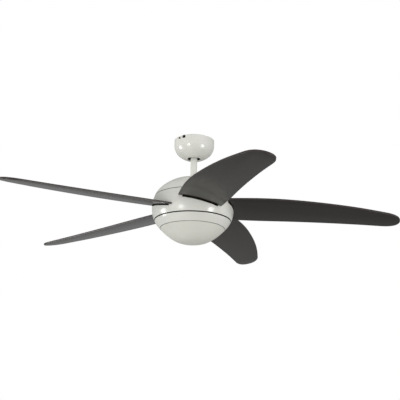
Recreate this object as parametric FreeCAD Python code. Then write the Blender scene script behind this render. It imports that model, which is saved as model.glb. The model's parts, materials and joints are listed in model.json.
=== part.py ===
import FreeCAD, Part
import math
import os
from FreeCAD import Placement, Rotation, Vector

# Ceiling fan with a light, 132 cm sweep.  Millimetres, +Z up.
# The origin is the middle of the hanger bracket's top face, which lies on the ceiling.
# Heights called "rel" are measured from the blade plane, the others from the ceiling.

# ---------------------------------------------------------------- driving dimensions
BLADE_PLANE = -235.0
BLADE_COUNT = 5
BLADE_FIRST_ANGLE = -1.96
BETWEEN_BLADES = BLADE_FIRST_ANGLE + 180.0 / BLADE_COUNT
BLADE_PITCH = 11.3
BLADE_DROOP = 2.65
BLADE_THICK = 6.0
SHEET = 1.5
FIT = 0.05

# Screws: radius of the clearance hole, shank, tapped hole and head, and height of the head.
M5_HOLE, M5_SHANK, M5_TAPPED, M5_HEAD, M5_HEAD_HIGH = 2.6, 2.4, 2.5, 4.5, 2.4
M4_HOLE, M4_SHANK, M4_TAPPED, M4_HEAD, M4_HEAD_HIGH = 2.15, 1.95, 2.0, 3.5, 2.3
M3_HOLE, M3_SHANK, M3_TAPPED, M3_HEAD, M3_HEAD_HIGH = 1.9, 1.5, 1.6, 3.2, 2.0

# Blade outline: radius from the fan's axis, and offset from the blade's centre line.
# Positive offsets are on the leading edge.  The root ends in two shoulders and a tongue.
BLADE_EDGE = [
    (104.5, 80), (178, 89.3), (265, 94.3), (365, 89.4), (450, 79.4), (540, 62.8), (600, 47.6),
    (632, 36.4), (652, 19.5), (660, -3), (652, -27), (630, -39.3), (598, -41.6), (540, -40.8),
    (417, -42.8), (294, -48.8), (200, -55.2), (118.5, -58),
]
TONGUE_END = 92.0
TONGUE_LEAD = 66.5
TONGUE_TRAIL = -46.0
SHOULDER_LEAD = 114.0
SHOULDER_TRAIL = 123.5
SLOT_SIDE_ROOM = 1.5
SLOT_ABOVE = 1.5
SLOT_BELOW = 4.0
BLADE_SCREW_PLACES = [(105.0, 22.0), (105.0, -22.0), (114.0, -2.0)]

# Canopy outline from the rim down to the rolled lip: radius and height.
CANOPY_HOLE_R = 20.5
CANOPY_LIP_R = 2.0
CANOPY_WALL = 1.2
CANOPY_OUTLINE = [
    (64.8, -1.75), (64.8, -10), (64.8, -18), (64.1, -26.6), (62.1, -34.1), (58.9, -41.2),
    (54.5, -47.6), (48.6, -53.3), (42, -58.1), (36, -61.6), (29.5, -64.1),
    (CANOPY_HOLE_R + CANOPY_LIP_R, -65.1),
]
CANOPY_R = CANOPY_OUTLINE[0][0]
CANOPY_SCREW_ANGLE = -129.5
CANOPY_SCREW_Z = -8.0
CANOPY_SCREW_HEAD_R = 4.2
CANOPY_SCREW_HEAD_HIGH = 2.4
CANOPY_SLOT_HALF = 2.8
CANOPY_SLOT_SWEEP = 20.7
ENTRY_FROM_SCREW = 8.7
ENTRY_HALF = 4.7
ENTRY_BOTTOM = -11.5

# Hanger ball, its plastic liner and the bracket.
BALL_R = 24.0
BALL_CENTRE = -45.5
BALL_TOP = BALL_CENTRE + 13
BALL_BOTTOM = BALL_CENTRE - 14
SPHERE_GAP = 0.3
LINER_WALL = 2.2
LINER_LOW = BALL_CENTRE - 15
LINER_HIGH = BALL_CENTRE - 3
SEAT_TOP = BALL_CENTRE - 10
SEAT_R = 30.0
BRACKET_SHEET = 2.5
LEG_HALF_WIDTH = 12.0
PLATE_R = 61.0
ROD_PASSAGE = 24.0
CEILING_SLOT_SPACING = 88.9
CEILING_SLOT_R = 2.6
CEILING_SLOT_LENGTH = 14.0
CABLE_HOLE_R = 14.0
EAR_OUTER = 62.0
EAR_SHEET = 2.0
EAR_HALF_WIDTH = 5.0
EAR_BOTTOM = -14.0

# Three-way terminal block: half width, near and far side, underside, and its ways.
TERMINAL_HALF = 15.0
TERMINAL_NEAR, TERMINAL_FAR, TERMINAL_LOW = 36.0, 50.0, -14.5
TERMINAL_PITCH = 9.5
TERMINAL_WIRE_R = 2.0
TERMINAL_WELL_R = 2.2

# Downrod (half-inch pipe) and its pins.
ROD_R = 10.65
ROD_BORE = 8.65
ROD_TOP = BALL_TOP - 2
ROD_BOTTOM = -168.0
PIN_R = 2.5
BALL_PIN_Z = BALL_TOP - 6
BALL_PIN_HALF = 21.5
BALL_SET_SCREW_Z = BALL_CENTRE - 3
BALL_SET_SCREW_LONG = 9.0
COUPLING_PIN_Z = -157.0
COUPLING_PIN_CLIP_X = 19.0
CLIP_WIRE_R = 0.8
CLIP_HALF = 6.0

# Motor shaft and coupling.
SHAFT_R = 8.5
SHAFT_BORE = 5.0
SHAFT_TOP = -173.0
SHAFT_BOTTOM = BLADE_PLANE - 58.0
LEAD_HOLE_REL = 37.0
LEAD_HOLE_R = 3.0
COUPLING_R = 16.0
COUPLING_FOOT_R = 20.0
COUPLING_FOOT_HIGH = 6.0
COUPLING_TOP = -145.0
COUPLING_BOTTOM = -193.0
COUPLING_SET_SCREW_Z = COUPLING_TOP - 5.0

# Motor: stator inside, squirrel-cage rotor outside.
STATOR_R = 62.0
STATOR_HALF = 10.0
STATOR_HUB_R = 34.0
SLOT_COUNT = 16
TOOTH_HALF = 4.5
SHOE_INNER = 58.5
SHOE_ANGLE = 19.0
COIL_IN, COIL_OUT, COIL_HALF_WIDTH, COIL_HALF_HIGH = 37.0, 55.0, 6.8, 18.0
COIL_GAP = 0.1
AIR_GAP = 0.5
ROTOR_R = 76.0
CAGE_BARS = 32
CAGE_BAR_R = 1.75
CAGE_BAR_PCR = 66.5
CAGE_RING_OUT, CAGE_RING_IN, CAGE_RING_HIGH = 70.0, 63.5, 3.0
COVER_WALL_R = 79.5
COVER_FLANGE_R = 87.0
COVER_FLANGE_HIGH = 3.0
COVER_INSIDE = 20.0
COVER_PLATE = 4.0
COVER_SCREW_PCR = 83.2
COVER_BOSS_R = 26.0
COVER_SHAFT_HOLE_R = 14.0
VENT_COUNT, VENT_R, VENT_PCR = 12, 4.0, 50.0

BEARING_INNER_R = 12.0
BEARING_RACE_R = 14.0
BEARING_OUTER_IN = 16.0
BEARING_OUTER_R = 20.0
BEARING_HALF = 6.0
BEARING_CENTRE = 24.0
BALL_COUNT = 8
RACE_BALL_R = 3.0

# Blade arms, carrier plate and rotating housing.
BRACKET_THICK = 3.0
BRACKET_TOP_REL = -24.0
BRACKET_SCREW_RADII = (58.0, 72.0)
FOOT_IN, FOOT_OUT, FOOT_HALF = 50.0, 80.0, 18.0
PAD_IN, PAD_OUT, PAD_TRAIL, PAD_LEAD = 100.0, 120.0, 34.0, -40.0
WEB_TRAIL, WEB_LEAD = 26.0, -30.0
CARRIER_TOP_REL = BRACKET_TOP_REL - BRACKET_THICK
CARRIER_IN, CARRIER_STEP_IN, CARRIER_STEP_OUT, CARRIER_OUT = 45.0, 104.0, 110.0, 119.0
CARRIER_SCREW_PCR = 114.5
FLANGE_IN, FLANGE_OUT = 109.0, 122.4

# Outlines of the round body: radius and height rel. to the blade plane.
BAND_OUTLINE = [
    (122.9, -37.9), (126.2, -30), (129.8, -15), (131, 0), (129.9, 15), (126.6, 30), (124.2, 37.2),
]
CAP_OUTLINE = [
    (123.7, 38.9), (118.4, 49.6), (108.5, 62.4), (95.8, 73.4), (82.3, 82.7), (69.2, 89.9), (54.8, 94.9),
    (40, 97),
]
RING_OUTLINE = [(121.3, -41.2), (117.2, -48.5), (111.2, -56.5), (103.8, -64.8)]
GLASS_OUTLINE = [
    (102.4, -65.8), (94, -74.2), (82.6, -84.3), (70.2, -93.8), (57.4, -101.5), (44, -107.3),
    (29.5, -110.6), (15, -111.9), (0, -112.3),
]
BAND_BOTTOM_REL = BAND_OUTLINE[0][1]
LEDGE_REL = 28.5
LEDGE_IN, LEDGE_OUT = 119.0, 125.4
CAP_TOP_REL = CAP_OUTLINE[-1][1]
CAP_HOLE_R = 34.0
HUB_COVER_R = 40.0
HUB_COVER_HOLE_R = 14.0
COLLAR_IN, COLLAR_OUT, COLLAR_TOP_REL = 119.8, 121.3, 41.4

# Light pan, reflector, lamp and glass.
PAN_TOP_REL = RING_OUTLINE[0][1]
PAN_PLATE_R = 119.5
RING_BOTTOM_REL = RING_OUTLINE[-1][1]
PAN_LIP_IN = 100.0
PAN_NUT_HIGH = 7.0
PAN_NUT_FLATS = 26.0
POST_COUNT, POST_PCR, POST_R = 3, 88.0, 4.0
REFLECTOR_R = 98.0
REFLECTOR_TOP_REL = -54.0
REFLECTOR_LOW_REL = -55.0
LAMP_REL = -80.0
LAMP_R, LAMP_HALF = 4.8, 50.0
LAMP_CAP_R, LAMP_CAP_LONG = 5.9, 12.0
HOLDER_IN, HOLDER_OUT, HOLDER_HALF, HOLDER_LOW_REL = 58.6, 71.5, 8.0, -87.4
HOLDER_WIRE_X = 65.5
GASKET_OUT, GASKET_IN, GASKET_HIGH = 98.0, 94.5, 1.4
GLASS_WALL = 3.0
GLASS_NECK_R = 98.5
GLASS_RIM_REL = -57.5
GLASS_TOP_REL = GLASS_OUTLINE[0][1]
LUG_COUNT = 3
LUG_R, LUG_LOW_REL, LUG_HIGH, LUG_ANGLE = 101.8, -62.6, 2.6, 18.0
NOTCH_R, NOTCH_ANGLE = 102.3, 24.0
GLASS_TWIST = 30.0

UP = Vector(0, 0, 1)
blade_angles = [BLADE_FIRST_ANGLE + 360.0 / BLADE_COUNT * k for k in range(BLADE_COUNT)]
nodes = {}


# ---------------------------------------------------------------- small shape helpers
def cylinder(radius, low, high, x=0.0, y=0.0):
    return Part.makeCylinder(radius, high - low, Vector(x, y, low))


def tube(outer, inner, low, high, x=0.0, y=0.0):
    return cylinder(outer, low, high, x, y).cut(cylinder(inner, low - 1, high + 1, x, y))


def box(x0, x1, y0, y1, z0, z1):
    return Part.makeBox(x1 - x0, y1 - y0, z1 - z0, Vector(x0, y0, z0))


def rod_along(direction, radius, start, length):
    return Part.makeCylinder(radius, length, Vector(*start), Vector(*direction))


def cross_hole(radius, height):
    """A cutter along X, through everything at this height."""
    return rod_along((1, 0, 0), radius, (-SEAT_R, 0, height), 2 * SEAT_R)


def sector(radius, low, high, angle):
    """A slice of a disc with its middle on the X axis."""
    return turned(Part.makeCylinder(radius, high - low, Vector(0, 0, low), UP, angle), -angle / 2)


def hexagon(across_flats, low, high):
    corner = across_flats / math.sqrt(3)
    points = []
    for k in range(7):
        turn = math.radians(60 * k)
        points.append(Vector(corner * math.cos(turn), corner * math.sin(turn), low))
    return Part.Face(Part.makePolygon(points)).extrude(Vector(0, 0, high - low))


def turned(shape, angle):
    copy = shape.copy()
    copy.rotate(Vector(0, 0, 0), UP, angle)
    return copy


def at_blade_plane(shape):
    copy = shape.copy()
    copy.translate(Vector(0, 0, BLADE_PLANE))
    return copy


def fuse_all(shapes):
    return shapes[0].multiFuse(shapes[1:]).removeSplitter()


def in_profile(points):
    return [Vector(radius, 0, height) for radius, height in points]


def profile_line(start, end):
    return Part.makeLine(*in_profile([start, end]))


def smooth_edge(points):
    curve = Part.BSplineCurve()
    curve.interpolate(in_profile(points))
    return curve.toShape()


def spin(edges):
    face = Part.Face(Part.Wire(Part.__sortEdges__(edges)))
    return face.revolve(Vector(0, 0, 0), UP, 360)


def spun_polygon(points):
    corners = in_profile(points)
    return spin(Part.makePolygon(corners + [corners[0]]).Edges)


def inset(points, wall):
    """The outline moved inward, square to itself, by the wall."""
    moved = []
    for k, (radius, height) in enumerate(points):
        before = points[max(k - 1, 0)]
        after = points[min(k + 1, len(points) - 1)]
        along_r = after[0] - before[0]
        along_h = after[1] - before[1]
        length = math.hypot(along_r, along_h)
        side = 1 if along_h > 0 else -1
        moved.append((radius - side * wall * along_h / length, height + side * wall * along_r / length))
    return moved


def spun_shell(points, wall):
    """A shell of even wall that follows an outline of radius and height."""
    inner = inset(points, wall)
    ends = [profile_line(inner[0], points[0]), profile_line(points[-1], inner[-1])]
    return spin([smooth_edge(points), smooth_edge(inner)] + ends)


def around(shape, count, first=0.0):
    return [turned(shape, first + 360.0 / count * k) for k in range(count)]


def group(shapes):
    return Part.makeCompound(shapes)


def screw_shape(shank_r, head_r, head_high, low, seat, x, y=0.0):
    """Upright screw with its head above the seat."""
    shank = cylinder(shank_r, low, seat, x, y)
    return shank.fuse(cylinder(head_r, seat, seat + head_high, x, y)).removeSplitter()


# ---------------------------------------------------------------- hanging parts
def hanger_bracket():
    """Round plate on the ceiling with two legs that carry a seat for the hanger ball."""
    seat_low = SEAT_TOP - BRACKET_SHEET
    leg_out = SEAT_R + BRACKET_SHEET
    plate = cylinder(PLATE_R, -BRACKET_SHEET, 0)
    leg = box(SEAT_R, leg_out, -LEG_HALF_WIDTH, LEG_HALF_WIDTH, seat_low, -BRACKET_SHEET)
    seat = cylinder(SEAT_R, seat_low, SEAT_TOP)
    wings = box(-leg_out, leg_out, -LEG_HALF_WIDTH, LEG_HALF_WIDTH, seat_low, SEAT_TOP)
    ear = box(EAR_OUTER - EAR_SHEET, EAR_OUTER, -EAR_HALF_WIDTH, EAR_HALF_WIDTH, EAR_BOTTOM, 0)
    ear_root = box(PLATE_R - 5, EAR_OUTER, -EAR_HALF_WIDTH, EAR_HALF_WIDTH, -BRACKET_SHEET, 0)
    ears = around(ear.fuse(ear_root), 2, CANOPY_SCREW_ANGLE)
    body = fuse_all([plate, leg, turned(leg, 180), seat, wings] + ears)
    socket_r = BALL_R + SPHERE_GAP + LINER_WALL + SPHERE_GAP
    body = body.cut(Part.makeSphere(socket_r, Vector(0, 0, BALL_CENTRE)))
    body = body.cut(rod_passage())
    body = body.cut(cylinder(CABLE_HOLE_R, -BRACKET_SHEET - 1, 1))
    for side in (-1, 1):
        centre = side * CEILING_SLOT_SPACING / 2
        half = CEILING_SLOT_LENGTH / 2 - CEILING_SLOT_R
        slot = box(centre - half, centre + half, -CEILING_SLOT_R, CEILING_SLOT_R, -BRACKET_SHEET - 1, 1)
        for end in (centre - half, centre + half):
            slot = slot.fuse(cylinder(CEILING_SLOT_R, -BRACKET_SHEET - 1, 1, end, 0))
        body = body.cut(slot)
    thread = rod_along((1, 0, 0), M4_TAPPED, (PLATE_R - 5, 0, CANOPY_SCREW_Z), 10)
    return body.cut(group(around(thread, 2, CANOPY_SCREW_ANGLE)))


def rod_passage():
    """The open side of the seat and liner that the rod is hooked in through."""
    return box(-ROD_PASSAGE / 2, ROD_PASSAGE / 2, 0, SEAT_R + 5, BALL_CENTRE - SEAT_R, SEAT_TOP + 15)


def seat_liner():
    """Plastic ring between the bracket's seat and the ball, open on one side for the rod."""
    centre = Vector(0, 0, BALL_CENTRE)
    inner = BALL_R + SPHERE_GAP
    ring = Part.makeSphere(inner + LINER_WALL, centre).cut(Part.makeSphere(inner, centre))
    ring = ring.common(cylinder(SEAT_R, LINER_LOW, LINER_HIGH))
    return ring.cut(box(-ROD_PASSAGE / 2, ROD_PASSAGE / 2, 0, SEAT_R, LINER_LOW - 1, LINER_HIGH + 1))


def lip_arc(centre_r, centre_z, radius):
    """Quarter turn from the lip's lowest point to its innermost point."""
    low = (centre_r, centre_z - radius)
    inward = (centre_r - radius, centre_z)
    diagonal = radius * math.sqrt(0.5)
    middle = (centre_r - diagonal, centre_z - diagonal)
    return Part.Arc(*in_profile([low, middle, inward])).toShape()


def canopy():
    """Pressed cover over the bracket, hung on two screws in hooked slots."""
    inner = inset(CANOPY_OUTLINE, CANOPY_WALL)
    lip_r, lowest = CANOPY_OUTLINE[-1]
    inner[-1] = (lip_r, lowest + CANOPY_WALL)
    lip_z = lowest + CANOPY_LIP_R
    edges = [smooth_edge(CANOPY_OUTLINE), smooth_edge(inner), profile_line(CANOPY_OUTLINE[0], inner[0])]
    edges += [lip_arc(lip_r, lip_z, CANOPY_LIP_R), lip_arc(lip_r, lip_z, CANOPY_LIP_R - CANOPY_WALL)]
    edges.append(profile_line((CANOPY_HOLE_R, lip_z), (CANOPY_HOLE_R + CANOPY_WALL, lip_z)))
    shell = spin(edges)
    cut_in, cut_out = EAR_OUTER, CANOPY_R + 2
    slot_low, slot_high = CANOPY_SCREW_Z - CANOPY_SLOT_HALF, CANOPY_SCREW_Z + CANOPY_SLOT_HALF
    entry = box(cut_in, cut_out, -ENTRY_HALF, ENTRY_HALF, ENTRY_BOTTOM, 1)
    run = sector(cut_out, slot_low, slot_high, CANOPY_SLOT_SWEEP).cut(cylinder(cut_in, slot_low, slot_high))
    entry_angle = CANOPY_SCREW_ANGLE + ENTRY_FROM_SCREW
    cutters = around(entry, 2, entry_angle) + around(run, 2, entry_angle - CANOPY_SLOT_SWEEP / 2)
    return shell.cut(group(cutters))


def canopy_screws():
    """Pan-head screws through the canopy's slots into the bracket's ears."""
    seat = CANOPY_R + 0.2
    start = EAR_OUTER - EAR_SHEET - 1
    shank = rod_along((1, 0, 0), M4_SHANK, (start, 0, CANOPY_SCREW_Z), seat - start)
    head = rod_along((1, 0, 0), CANOPY_SCREW_HEAD_R, (seat, 0, CANOPY_SCREW_Z), CANOPY_SCREW_HEAD_HIGH)
    half_long, half_wide, deep = 2.4, 0.5, 1.0
    top = seat + CANOPY_SCREW_HEAD_HIGH
    upright = box(top - deep, top + 1, -half_wide, half_wide, CANOPY_SCREW_Z - half_long,
                  CANOPY_SCREW_Z + half_long)
    level = box(top - deep, top + 1, -half_long, half_long, CANOPY_SCREW_Z - half_wide,
                CANOPY_SCREW_Z + half_wide)
    screw = shank.fuse(head).removeSplitter().cut(upright).cut(level)
    return group(around(screw, 2, CANOPY_SCREW_ANGLE))


def terminal_block():
    """Three-way block under the plate, with its wire holes and screw wells."""
    body = box(-TERMINAL_HALF, TERMINAL_HALF, TERMINAL_NEAR, TERMINAL_FAR, TERMINAL_LOW, -BRACKET_SHEET)
    for x in (-TERMINAL_PITCH, 0, TERMINAL_PITCH):
        wire_z = TERMINAL_LOW + 5.5
        wire = rod_along((0, 1, 0), TERMINAL_WIRE_R, (x, TERMINAL_NEAR - 1, wire_z), 20)
        body = body.cut(wire)
        for y in (TERMINAL_NEAR + 4, TERMINAL_FAR - 4):
            body = body.cut(cylinder(TERMINAL_WELL_R, TERMINAL_LOW - 1, TERMINAL_LOW + 3.5, x, y))
    return body


def hanger_ball():
    """Truncated ball with the rod's bore, a pin hole and a set-screw hole."""
    ball = Part.makeSphere(BALL_R, Vector(0, 0, BALL_CENTRE))
    ball = ball.common(cylinder(SEAT_R, BALL_BOTTOM, BALL_TOP))
    ball = ball.cut(cylinder(ROD_R + FIT, BALL_BOTTOM - 1, ROD_TOP))
    ball = ball.cut(cylinder(ROD_BORE, ROD_TOP - 1, BALL_TOP + 1))
    ball = ball.cut(cross_hole(PIN_R + FIT, BALL_PIN_Z))
    return ball.cut(rod_along((0, 1, 0), PIN_R + FIT, (0, 0, BALL_SET_SCREW_Z), SEAT_R))


def downrod():
    """Steel pipe with a cross hole at each end."""
    pipe = tube(ROD_R, ROD_BORE, ROD_BOTTOM, ROD_TOP)
    for height in (BALL_PIN_Z, COUPLING_PIN_Z):
        pipe = pipe.cut(cross_hole(PIN_R + FIT, height))
    return pipe


def ball_pin():
    return rod_along((1, 0, 0), PIN_R, (-BALL_PIN_HALF, 0, BALL_PIN_Z), 2 * BALL_PIN_HALF)


def ball_set_screw():
    return rod_along((0, 1, 0), PIN_R, (0, ROD_R, BALL_SET_SCREW_Z), BALL_SET_SCREW_LONG)


# ---------------------------------------------------------------- coupling and shaft
def coupling():
    """Cast sleeve that pins the pipe and clamps the motor shaft."""
    sleeve = cylinder(COUPLING_R, COUPLING_BOTTOM, COUPLING_TOP)
    foot = cylinder(COUPLING_FOOT_R, COUPLING_BOTTOM, COUPLING_BOTTOM + COUPLING_FOOT_HIGH)
    body = sleeve.fuse(foot).removeSplitter()
    body = body.cut(cylinder(ROD_R + FIT, ROD_BOTTOM, COUPLING_TOP + 1))
    body = body.cut(cylinder(SHAFT_R + FIT, COUPLING_BOTTOM - 1, SHAFT_TOP))
    body = body.cut(cylinder(SHAFT_BORE + 1, SHAFT_TOP - 1, ROD_BOTTOM + 1))
    body = body.cut(cross_hole(PIN_R + FIT, COUPLING_PIN_Z))
    set_screw_hole = rod_along((0, 1, 0), M5_TAPPED, (0, -SEAT_R, COUPLING_SET_SCREW_Z), 2 * SEAT_R)
    return body.cut(set_screw_hole)


def coupling_pin():
    """Headed pin with a cross hole for its clip."""
    clip_x = COUPLING_PIN_CLIP_X
    pin = rod_along((1, 0, 0), PIN_R, (-clip_x, 0, COUPLING_PIN_Z), 2 * clip_x + 3)
    head = rod_along((1, 0, 0), 1.6 * PIN_R, (-clip_x - 2, 0, COUPLING_PIN_Z), 2)
    clip_hole = cylinder(CLIP_WIRE_R + 3 * FIT, COUPLING_PIN_Z - 5, COUPLING_PIN_Z + 5, clip_x, 0)
    return pin.fuse(head).removeSplitter().cut(clip_hole)


def pin_clip():
    """Spring wire clip: one straight leg through the pin, a loop, and one leg beside it."""
    gap = PIN_R + CLIP_WIRE_R
    x = COUPLING_PIN_CLIP_X
    high = COUPLING_PIN_Z + CLIP_HALF
    low = COUPLING_PIN_Z - CLIP_HALF
    straight = cylinder(CLIP_WIRE_R, low, high, x, 0)
    outer = cylinder(CLIP_WIRE_R, low, high, x, 2 * gap)
    loop = Part.makeTorus(gap, CLIP_WIRE_R, Vector(x, gap, high), Vector(1, 0, 0))
    upper_half = box(x - gap, x + gap, -gap, 4 * gap, high, high + 2 * gap)
    return fuse_all([straight, outer, loop.common(upper_half)])


def coupling_set_screws():
    screw = rod_along((0, 1, 0), M5_SHANK, (0, ROD_R + 2 * FIT, COUPLING_SET_SCREW_Z), 6.5)
    return group(around(screw, 2))


def motor_shaft():
    """Hollow fixed shaft; the supply wires run down its bore to the lamp."""
    shaft = tube(SHAFT_R, SHAFT_BORE, SHAFT_BOTTOM, SHAFT_TOP)
    lead_hole = rod_along((1, 0, 0), LEAD_HOLE_R, (0, 0, BLADE_PLANE + LEAD_HOLE_REL), SHAFT_R + 1)
    return shaft.cut(lead_hole)


# ---------------------------------------------------------------- motor
def stator_core():
    """Laminated stack with sixteen teeth, pressed on the shaft."""
    half = STATOR_HALF
    hub = cylinder(STATOR_HUB_R, -half, half)
    tooth = box(STATOR_HUB_R - 2, SHOE_INNER + 0.5, -TOOTH_HALF, TOOTH_HALF, -half, half)
    shoe = sector(STATOR_R, -half, half, SHOE_ANGLE).cut(cylinder(SHOE_INNER, -half - 1, half + 1))
    teeth = around(tooth.fuse(shoe), SLOT_COUNT)
    core = fuse_all([hub] + teeth).cut(cylinder(SHAFT_R + FIT, -half - 1, half + 1))
    return at_blade_plane(core)


def stator_windings():
    """One coil round each tooth, a separate solid for every coil."""
    outside = box(COIL_IN, COIL_OUT, -COIL_HALF_WIDTH, COIL_HALF_WIDTH, -COIL_HALF_HIGH, COIL_HALF_HIGH)
    hole_half = TOOTH_HALF + COIL_GAP
    hole_high = STATOR_HALF + 2 * COIL_GAP
    hole = box(COIL_IN - 1, COIL_OUT + 1, -hole_half, hole_half, -hole_high, hole_high)
    return at_blade_plane(group(around(outside.cut(hole), SLOT_COUNT)))


def rotor_laminations():
    ring = tube(ROTOR_R, STATOR_R + AIR_GAP, -STATOR_HALF, STATOR_HALF)
    hole = cylinder(CAGE_BAR_R + FIT, -2 * STATOR_HALF, 2 * STATOR_HALF, CAGE_BAR_PCR, 0)
    return at_blade_plane(ring.cut(group(around(hole, CAGE_BARS))))


def rotor_cage():
    """Cast bars through the laminations, joined by a ring at each end."""
    half = STATOR_HALF
    far = STATOR_HALF + CAGE_RING_HIGH
    bar = cylinder(CAGE_BAR_R, -half - 1, half + 1, CAGE_BAR_PCR, 0)
    rings = [tube(CAGE_RING_OUT, CAGE_RING_IN, half, far), tube(CAGE_RING_OUT, CAGE_RING_IN, -far, -half)]
    return at_blade_plane(fuse_all(rings + around(bar, CAGE_BARS)))


def motor_cover():
    """Upper cover in its own frame: plate, wall, split flange and bearing boss."""
    top = COVER_INSIDE + COVER_PLATE
    boss_low = BEARING_CENTRE - BEARING_HALF - 2
    boss_high = BEARING_CENTRE + BEARING_HALF + 2
    flange = tube(COVER_FLANGE_R, ROTOR_R, 0, COVER_FLANGE_HIGH)
    wall = tube(COVER_WALL_R, ROTOR_R, 0, top)
    plate = cylinder(COVER_WALL_R, COVER_INSIDE, top)
    boss = cylinder(COVER_BOSS_R, boss_low, boss_high)
    body = fuse_all([flange, wall, plate, boss])
    body = body.cut(cylinder(COVER_SHAFT_HOLE_R, boss_low - 1, boss_high + 1))
    return body.cut(cylinder(BEARING_OUTER_R + FIT, boss_low - 1, boss_high - 2))


def cover_screw_holes(radius):
    hole = cylinder(radius, -COVER_FLANGE_HIGH - 1, COVER_FLANGE_HIGH + 1, COVER_SCREW_PCR, 0)
    return around(hole, BLADE_COUNT, BETWEEN_BLADES)


def motor_top_cover():
    vent = cylinder(VENT_R, 0, COVER_INSIDE + COVER_PLATE + 1, VENT_PCR, 0)
    holes = around(vent, VENT_COUNT) + cover_screw_holes(M4_HOLE)
    return at_blade_plane(motor_cover().cut(group(holes)))


def motor_bottom_cover():
    body = motor_cover()
    body.rotate(Vector(0, 0, 0), Vector(1, 0, 0), 180)
    holes = cover_screw_holes(M4_TAPPED)
    for radius in BRACKET_SCREW_RADII:
        thread = cylinder(M5_TAPPED, BRACKET_TOP_REL - 1, -COVER_INSIDE + 1, radius, 0)
        holes += around(thread, BLADE_COUNT, BLADE_FIRST_ANGLE)
    return at_blade_plane(body.cut(group(holes)))


def motor_cover_screws():
    high = COVER_FLANGE_HIGH
    screw = screw_shape(M4_SHANK, M4_HEAD, M4_HEAD_HIGH, 0.2 - high, high, COVER_SCREW_PCR)
    return at_blade_plane(group(around(screw, BLADE_COUNT, BETWEEN_BLADES)))


def bearing_inner(centre):
    ring = tube(BEARING_INNER_R, SHAFT_R + FIT, centre - BEARING_HALF, centre + BEARING_HALF)
    groove = Part.makeTorus(BEARING_RACE_R, RACE_BALL_R + 0.35, Vector(0, 0, centre))
    return at_blade_plane(ring.cut(groove))


def bearing_outer(centre):
    ring = tube(BEARING_OUTER_R, BEARING_OUTER_IN, centre - BEARING_HALF, centre + BEARING_HALF)
    groove = Part.makeTorus(BEARING_RACE_R, RACE_BALL_R + FIT, Vector(0, 0, centre))
    return at_blade_plane(ring.cut(groove))


def bearing_balls(centre):
    ball = Part.makeSphere(RACE_BALL_R, Vector(BEARING_RACE_R, 0, centre))
    return at_blade_plane(group(around(ball, BALL_COUNT)))


# ---------------------------------------------------------------- blades
def blade_place(angle):
    """From the blade's own frame (X outward, Y to the trailing side, Z up) to the fan."""
    turn = Rotation(UP, angle)
    droop = Rotation(Vector(0, 1, 0), BLADE_DROOP)
    pitch = Rotation(Vector(1, 0, 0), -BLADE_PITCH)
    return Placement(Vector(0, 0, BLADE_PLANE), turn.multiply(droop).multiply(pitch))


def placed_blade_part(shape, angle):
    return shape.transformed(blade_place(angle).toMatrix(), True)


def blade():
    """Flat laminated board with a sabre outline; its tongue goes in through the housing."""
    edge = Part.BSplineCurve()
    edge.interpolate([Vector(x, -offset, 0) for x, offset in BLADE_EDGE])
    root_points = [
        BLADE_EDGE[-1], (SHOULDER_TRAIL, TONGUE_TRAIL), (TONGUE_END, TONGUE_TRAIL),
        (TONGUE_END, TONGUE_LEAD), (SHOULDER_LEAD, TONGUE_LEAD), BLADE_EDGE[0],
    ]
    root = Part.makePolygon([Vector(x, -offset, 0) for x, offset in root_points])
    outline = Part.Wire([edge.toShape()] + root.Edges)
    board = Part.Face(outline).extrude(Vector(0, 0, BLADE_THICK))
    for x, y in BLADE_SCREW_PLACES:
        board = board.cut(cylinder(M5_HOLE, -1, BLADE_THICK + 1, x, y))
    return board


def blade_bracket(angle):
    """Pressed arm: a foot under the motor, a rising web and a pitched pad for the blade."""
    foot_low = BLADE_PLANE + BRACKET_TOP_REL - BRACKET_THICK
    foot_top = foot_low + BRACKET_THICK
    foot = box(FOOT_IN, FOOT_OUT, -FOOT_HALF, FOOT_HALF, foot_low, foot_top)
    for radius in BRACKET_SCREW_RADII:
        foot = foot.cut(cylinder(M5_HOLE, foot_low - 1, foot_top + 1, radius, 0))
    foot_wire = upright_section(FOOT_OUT, -FOOT_HALF, FOOT_HALF, foot_low, foot_top)
    foot_wire.rotate(Vector(0, 0, 0), UP, angle)
    pad = box(PAD_IN, PAD_OUT, PAD_LEAD, PAD_TRAIL, -BRACKET_THICK, 0)
    for x, y in BLADE_SCREW_PLACES:
        pad = pad.cut(cylinder(M5_HOLE, -BRACKET_THICK - 1, 1, x, y))
    pad_wire = upright_section(PAD_IN, WEB_LEAD, WEB_TRAIL, -BRACKET_THICK, 0)
    pad_wire = pad_wire.transformed(blade_place(angle).toMatrix(), True)
    web = Part.makeLoft([foot_wire, pad_wire], True, True)
    return fuse_all([turned(foot, angle), web, placed_blade_part(pad, angle)])


def upright_section(x, y0, y1, z0, z1):
    corners = [Vector(x, y0, z0), Vector(x, y1, z0), Vector(x, y1, z1), Vector(x, y0, z1)]
    return Part.makePolygon(corners + corners[:1])


def blade_screws():
    screws = []
    for angle in blade_angles:
        for x, y in BLADE_SCREW_PLACES:
            low = -BRACKET_THICK - 1
            screw = screw_shape(M5_SHANK, M5_HEAD, M5_HEAD_HIGH, low, BLADE_THICK, x, y)
            screws.append(placed_blade_part(screw, angle))
    return group(screws)


def bracket_screws():
    seat = CARRIER_TOP_REL - SHEET
    screws = []
    for radius in BRACKET_SCREW_RADII:
        shank = cylinder(M5_SHANK, seat, -COVER_INSIDE - 0.5, radius, 0)
        head = cylinder(M5_HEAD, seat - M5_HEAD_HIGH, seat, radius, 0)
        screws += around(shank.fuse(head).removeSplitter(), BLADE_COUNT, BLADE_FIRST_ANGLE)
    return at_blade_plane(group(screws))


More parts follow.
